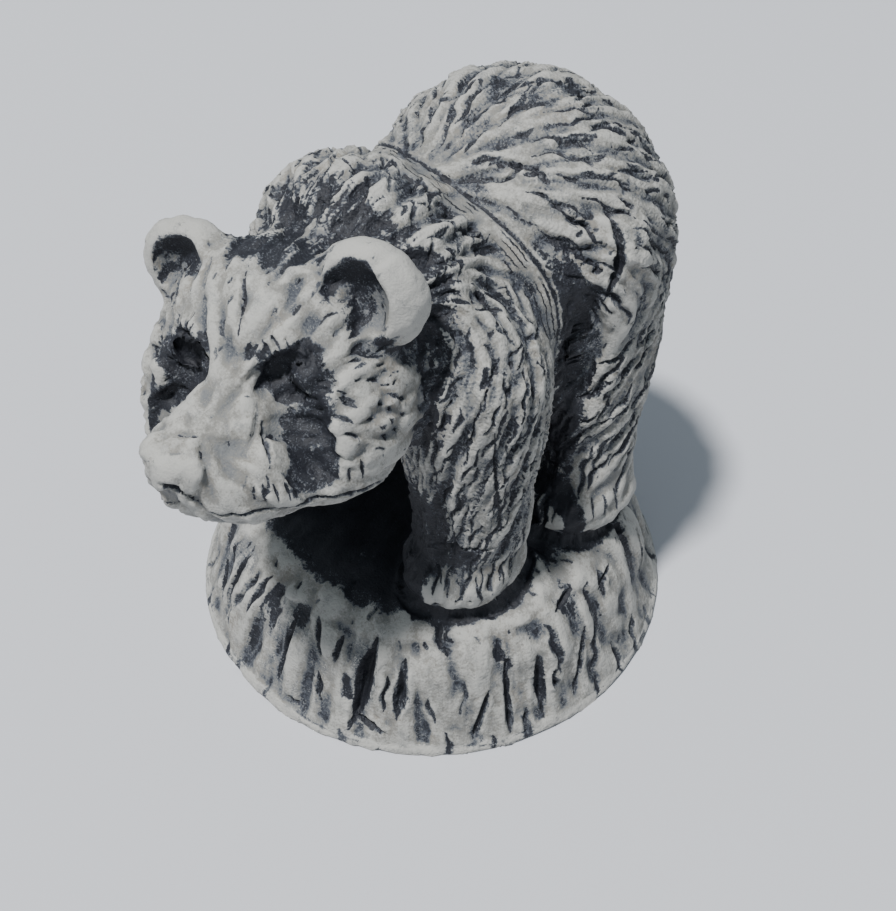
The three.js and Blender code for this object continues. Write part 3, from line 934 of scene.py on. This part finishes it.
def wash_and_shade_thickness(g, place, jitter, hollow, seams, dirtiness):
    """How thick the wash lies, painted shade included, from 0 to 1: the most of what each kind of place
    holds.
    """
    coat = g.attribute("strand_ink")
    strand = g.attribute("strand")
    in_cuts = g.ramp(g.plus(g.attribute("stroke"), jitter), 0.36, 0.80)
    in_cuts = g.times(in_cuts, g.attribute("ink"))
    patches = g.ramp(g.noise(place, 0.22 * PER_MM, 2.0, 0.5), 0.35, 0.65, -0.4, 0.4)
    low = g.plus(g.times(strand, -1.0), g.times(jitter, 2.0))
    between = g.times(g.ramp(g.plus(low, patches), -0.3, 1.5), coat)
    edge = g.plus(g.times(jitter, 1.5), g.times(strand, -0.17))
    # The shade attribute holds the wash and the painted shade on the lower foreleg.
    shaded = g.ramp(g.plus(g.attribute("shade"), edge), 0.36, 0.70)
    film = g.times(g.ramp(hollow, -0.06, 0.14), g.ramp(coat, 0.0, 0.5, 0.34, 0.75))
    dirt = g.ramp(g.noise(place, 0.5 * PER_MM, 4.0, 0.65), 0.46, 0.70, 0.0, dirtiness)
    thickest = seams
    for kind in (in_cuts, shaded, between, film, dirt):
        thickest = g.math("MAXIMUM", thickest, kind)
    return thickest


def speckled(g, place, dark, mottle, strength):
    """The wash with bare grains showing through it, fewer of them in the most sheltered places."""
    specks = g.ramp(g.noise(place, 6.0 * PER_MM, 3.0, 0.7), 0.50, 0.65)
    scarce = g.ramp(g.noise(place, 0.9 * PER_MM, 2.0, 0.5), 0.34, 0.58, 0.25, 1.0)
    scarce = g.times(scarce, g.ramp(g.attribute("shade"), 0.84, 1.0, 1.0, 0.4))
    dark = g.minus(dark, g.times(g.times(specks, scarce), strength))
    return g.plus(dark, g.times(mottle, g.ramp(dark, 0.2, 0.9, 0.35, 1.1)))


def opaque(colour):
    return (*colour, 1)


def stone_colour(g, dark, broad, rubbed, values):
    """Stone with its stain and rubbed grain, under a film, a thick coat or the full depth of the wash, which
    also paints the shade on the lower foreleg.
    """
    stone = g.mix(g.ramp(broad, 0.45, 0.75), opaque(values.stone_color), opaque(values.stain_color))
    stone = g.mix(g.ramp(rubbed, 0.70, 1.14), stone, opaque(values.dust_color))
    thin = g.mix(g.ramp(dark, 0.0, 0.42), stone, opaque(values.film_color))
    thick = g.mix(g.ramp(dark, 0.3, 0.66), thin, opaque(values.deep_color))
    return g.mix(g.ramp(dark, 0.55, 0.9), thick, opaque(values.wash_color))


def stone_material(values):
    """Light cast stone with a dark wash left in its cuts and hollows."""
    material = bpy.data.materials.new("Washed cast stone")
    material.use_nodes = True
    material.node_tree.nodes.clear()
    g = Graph(material.node_tree)
    place = g.add("ShaderNodeTexCoord").outputs["Object"]
    ragged = g.noise(place, 1.4 * PER_MM, 5.0, 0.65)
    grain = g.noise(place, 5.0 * PER_MM, 3.0, 0.6)
    broad = g.noise(place, 0.16 * PER_MM, 3.0, 0.6)
    hairs = g.times(fine_hairs(g, place), g.attribute("strand_ink"))
    jitter = g.times(g.minus(ragged, 0.5), values.raggedness)
    jitter = g.plus(jitter, g.times(hairs, 0.16))
    hollow = g.plus(g.attribute("hollow"), g.times(jitter, 0.10))
    seams = mantle_lines(g, place, jitter)
    dark = wash_and_shade_thickness(g, place, jitter, hollow, seams, values.dirt)
    mottle = g.plus(g.times(g.minus(grain, 0.5), 0.5), jitter)
    dark = speckled(g, place, dark, mottle, values.specks)
    rubbed = g.plus(ragged, g.times(grain, 0.6))
    rubbed = g.plus(rubbed, g.times(hollow, -1.6))
    relief = g.plus(g.times(grain, 0.5), ragged)
    relief = g.plus(relief, g.times(hairs, -0.35))
    relief = g.minus(relief, g.times(seams, 1.5))
    bump = g.add("ShaderNodeBump", {"Strength": 0.8, "Distance": 0.16 * MM, "Height": relief})
    shader = g.add("ShaderNodeBsdfPrincipled", {
        "Base Color": stone_colour(g, dark, broad, rubbed, values),
        "Normal": bump.outputs[0],
        "Roughness": g.ramp(dark, 0.0, 1.0, 0.86, 0.66),
    })
    g.add("ShaderNodeOutputMaterial", {"Surface": shader.outputs[0]})
    return material


def plain_material(name, colour, roughness):
    material = bpy.data.materials.new(name)
    material.use_nodes = True
    shader = material.node_tree.nodes["Principled BSDF"]
    shader.inputs["Base Color"].default_value = opaque(colour)
    shader.inputs["Roughness"].default_value = roughness
    return material


def tint(name, description, default):
    """A colour that a user may change."""
    return bpy.props.FloatVectorProperty(
        name=name, description=description, default=default, min=0, max=1, subtype="COLOR"
    )


def share(name, description, default):
    """A part of a whole that a user may change."""
    return bpy.props.FloatProperty(name=name, description=description, default=default, subtype="FACTOR")


# What a user may change
class BearCarvingValues(bpy.types.PropertyGroup):
    grain: bpy.props.FloatProperty(
        name="Skin grain", description="Spacing of the skin's points before it is thinned", default=0.0002,
        min=0.0001, precision=5, subtype="DISTANCE", unit="LENGTH",
    )
    triangles: bpy.props.IntProperty(
        name="Triangles", description="Triangles kept on the finished casting", default=195000, min=20000
    )
    seed: bpy.props.IntProperty(
        name="Seed", description="Chooses another arrangement of the cuts", default=7
    )
    spacing: bpy.props.FloatProperty(
        name="Cut spacing", description="Spreads the cuts further apart or closer", default=1.0, min=0.3
    )
    depth: bpy.props.FloatProperty(
        name="Cut depth", description="Deepens or flattens all cuts", default=1.0, min=0
    )
    lip: share("Cut lip", "How far the clay is pushed up beside a cut", 0.25)
    unevenness: bpy.props.FloatProperty(
        name="Unevenness", description="Height of the hand-worked unevenness", default=0.0005,
        precision=5, subtype="DISTANCE", unit="LENGTH",
    )


class BearFinishValues(bpy.types.PropertyGroup):
    stone_color: tint("Stone", "Bare cast stone", (0.185, 0.180, 0.164))
    stain_color: tint("Stain", "Faint warm stain", (0.190, 0.172, 0.144))
    dust_color: tint("Dust", "Rubbed high grain", (0.365, 0.358, 0.333))
    # The wash colours also paint the shade on the lower foreleg.
    film_color: tint("Thin wash", "Stone under a thin film of wash", (0.135, 0.140, 0.143))
    deep_color: tint("Thick wash", "Stone under a thick film of wash", (0.042, 0.048, 0.062))
    wash_color: tint("Full wash", "Wash that fills the deep cuts", (0.005, 0.006, 0.011))
    raggedness: share("Raggedness", "How uneven the edge of the wash is", 0.55)
    specks: share("Specks", "How strongly bare grains show through the wash", 0.52)
    dirt: share("Dirt", "How much thin wash clouds the open stone", 0.22)


class BearStageValues(bpy.types.PropertyGroup):
    floor_color: tint("Floor", "Plain pale floor", (0.500, 0.506, 0.535))
    sky_color: tint("Sky", "Light all round", (0.78, 0.90, 1.0))
    azimuth: bpy.props.FloatProperty(
        name="Azimuth", description="Camera's turn from the front to the bear's left",
        default=math.radians(50), subtype="ANGLE", unit="ROTATION",
    )
    elevation: bpy.props.FloatProperty(
        name="Elevation", description="Camera's height as an angle",
        default=math.radians(46), subtype="ANGLE", unit="ROTATION",
    )
    distance: bpy.props.FloatProperty(
        name="Distance", description="Camera's distance", default=0.148, subtype="DISTANCE", unit="LENGTH"
    )
    lens: bpy.props.FloatProperty(name="Lens", description="Focal length in millimetres", default=51.37)
    key: bpy.props.FloatProperty(name="Key", description="Power of the key light in watts", default=108.0)
    fill: bpy.props.FloatProperty(name="Fill", description="Strength of the light all round", default=0.44)


# Making the casting: how near points are welded, in millimetres, and how often the skin is settled
WELD = 0.0005
SETTLE_TURNS = 4


def fine_skin(piece, grain):
    """Gives the piece an even fine skin in millimetres, settled on the figure's masses."""
    mesh = piece.data
    work = bmesh.new()
    work.from_mesh(mesh)
    bmesh.ops.transform(work, matrix=Matrix.Scale(1 / MM, 4), verts=work.verts)
    bmesh.ops.remove_doubles(work, verts=work.verts, dist=WELD)
    work.to_mesh(mesh)
    work.free()
    remesh = piece.modifiers.new("Skin", "REMESH")
    remesh.mode = "VOXEL"
    remesh.voxel_size = grain
    bake(piece)
    skin = settle(figure, read_points(piece.data), SETTLE_TURNS)
    write_points(piece.data, skin)
    return skin


def carve(piece, strokes, carving, material):
    """Presses the strokes and the coat's strands into the piece and thins its mesh."""
    add_carving(piece, carving_tree(), {
        "Strokes": strokes,
        "Depth": carving.depth,
        "Lip": carving.lip,
        "Unevenness": carving.unevenness / MM,
        "Material": material,
    })
    count = sum(len(polygon.vertices) - 2 for polygon in piece.data.polygons)
    thin = piece.modifiers.new("Thin", "DECIMATE")
    thin.ratio = min(1.0, carving.triangles / count)
    bake(piece)


def keep_wash_and_shade(mesh):
    """Keeps the skin inside the casting's box, and writes on it where the wash and the painted shade are to
    lie.
    """
    p = np.clip(read_points(mesh), np.array(cad_low) / MM, np.array(cad_high) / MM)
    write_points(mesh, p)
    normals = normals_of(mesh)
    sheltered = np.clip(1.15 * smoothstep(shelter(p, normals), 0.35, 0.8), 0, 1)
    write_attribute(mesh, "shade", np.maximum(sheltered, painted(p)))
    write_attribute(mesh, "hollow", hollows(mesh, p, normals))
    write_points(mesh, p * MM)


class BEAR_OT_casting(bpy.types.Operator):
    """Carves the casting's skin and washes it"""

    bl_idname = "bear.casting"
    bl_label = "Carve the casting"

    def execute(self, context):
        carving = context.scene.bear_carving
        piece = add_object("bear", bpy.data.objects[CASTING].data.copy())
        skin = fine_skin(piece, carving.grain / MM)
        normals = normals_of(piece.data)
        place = place_of(skin, normals)
        comb(piece.data, skin, normals, place)
        strokes = all_strokes(skin, normals, place, carving).as_object("bear cuts")
        carve(piece, strokes, carving, stone_material(context.scene.bear_finish))
        bpy.data.objects.remove(strokes)
        keep_wash_and_shade(piece.data)
        piece.data.shade_smooth()
        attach(piece, "root")
        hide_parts(CASTING)
        return {"FINISHED"}


# The stage, in metres: half the floor's side, the key light, and what the light and the camera look at
FLOOR_HALF = 1.5
KEY_SIZE = 0.26
KEY_DISTANCE = 2.5
KEY_WAY = Vector((0.0, 0.34, -0.94)).normalized()
KEY_TARGET = Vector((0, 0, 0.02))
CAMERA_TARGET = Vector((1.2856, 1.5321, 18.5)) * MM


def add_floor(color):
    mesh = bpy.data.meshes.new("floor")
    corners = [(x * FLOOR_HALF, y * FLOOR_HALF, 0) for x, y in ((-1, -1), (1, -1), (1, 1), (-1, 1))]
    mesh.from_pydata(corners, [], [(0, 1, 2, 3)])
    floor = add_object("floor", mesh)
    mesh.materials.append(plain_material("Pale floor", color, 0.8))


def add_light(values):
    world = bpy.data.worlds.new("Studio")
    world.use_nodes = True
    background = world.node_tree.nodes["Background"]
    background.inputs["Color"].default_value = opaque(values.sky_color)
    background.inputs["Strength"].default_value = values.fill
    bpy.context.scene.world = world
    key = bpy.data.lights.new("Key", "AREA")
    key.shape = "DISK"
    key.size = KEY_SIZE
    key.energy = values.key
    lamp = add_object("Key", key)
    lamp.location = KEY_TARGET - KEY_WAY * KEY_DISTANCE
    lamp.rotation_euler = KEY_WAY.to_track_quat("-Z", "Y").to_euler()


def add_camera(values):
    camera = bpy.data.cameras.new("Camera")
    camera.lens = values.lens
    camera.clip_start = 0.01
    seen = add_object("Camera", camera)
    azimuth, elevation = values.azimuth, values.elevation
    back = Vector((
        math.sin(azimuth) * math.cos(elevation),
        -math.cos(azimuth) * math.cos(elevation),
        math.sin(elevation),
    ))
    seen.location = CAMERA_TARGET + back * values.distance
    seen.rotation_euler = (-back).to_track_quat("-Z", "Y").to_euler()
    bpy.context.scene.camera = seen


class BEAR_OT_stage(bpy.types.Operator):
    """Lays the floor and sets the lights and the camera"""

    bl_idname = "bear.stage"
    bl_label = "Set the stage"

    def execute(self, context):
        values = context.scene.bear_stage
        add_floor(values.floor_color)
        add_light(values)
        add_camera(values)
        return {"FINISHED"}


class BEAR_PT_panel(bpy.types.Panel):
    bl_idname = "BEAR_PT_panel"
    bl_label = "Cast-stone bear"
    bl_space_type = "VIEW_3D"
    bl_region_type = "UI"
    bl_category = "Bear"

    def draw(self, context):
        operators = {"bear_carving": "bear.casting", "bear_stage": "bear.stage"}
        for values in VALUES:
            box = self.layout.box()
            group = getattr(context.scene, values)
            for name in group.bl_rna.properties.keys():
                if name not in ("rna_type", "name"):
                    box.prop(group, name)
            if values in operators:
                box.operator(operators[values])


CLASSES = (
    BearCarvingValues,
    BearFinishValues,
    BearStageValues,
    BEAR_OT_casting,
    BEAR_OT_stage,
    BEAR_PT_panel,
)
VALUES = {"bear_carving": BearCarvingValues, "bear_finish": BearFinishValues, "bear_stage": BearStageValues}


def register():
    for kind in CLASSES:
        bpy.utils.register_class(kind)
    for name, kind in VALUES.items():
        setattr(bpy.types.Scene, name, bpy.props.PointerProperty(type=kind))


def unregister():
    for name in VALUES:
        delattr(bpy.types.Scene, name)
    for kind in reversed(CLASSES):
        bpy.utils.unregister_class(kind)


def main():
    register()
    bpy.ops.bear.casting()
    bpy.ops.bear.stage()


if __name__ == "__main__":
    main()
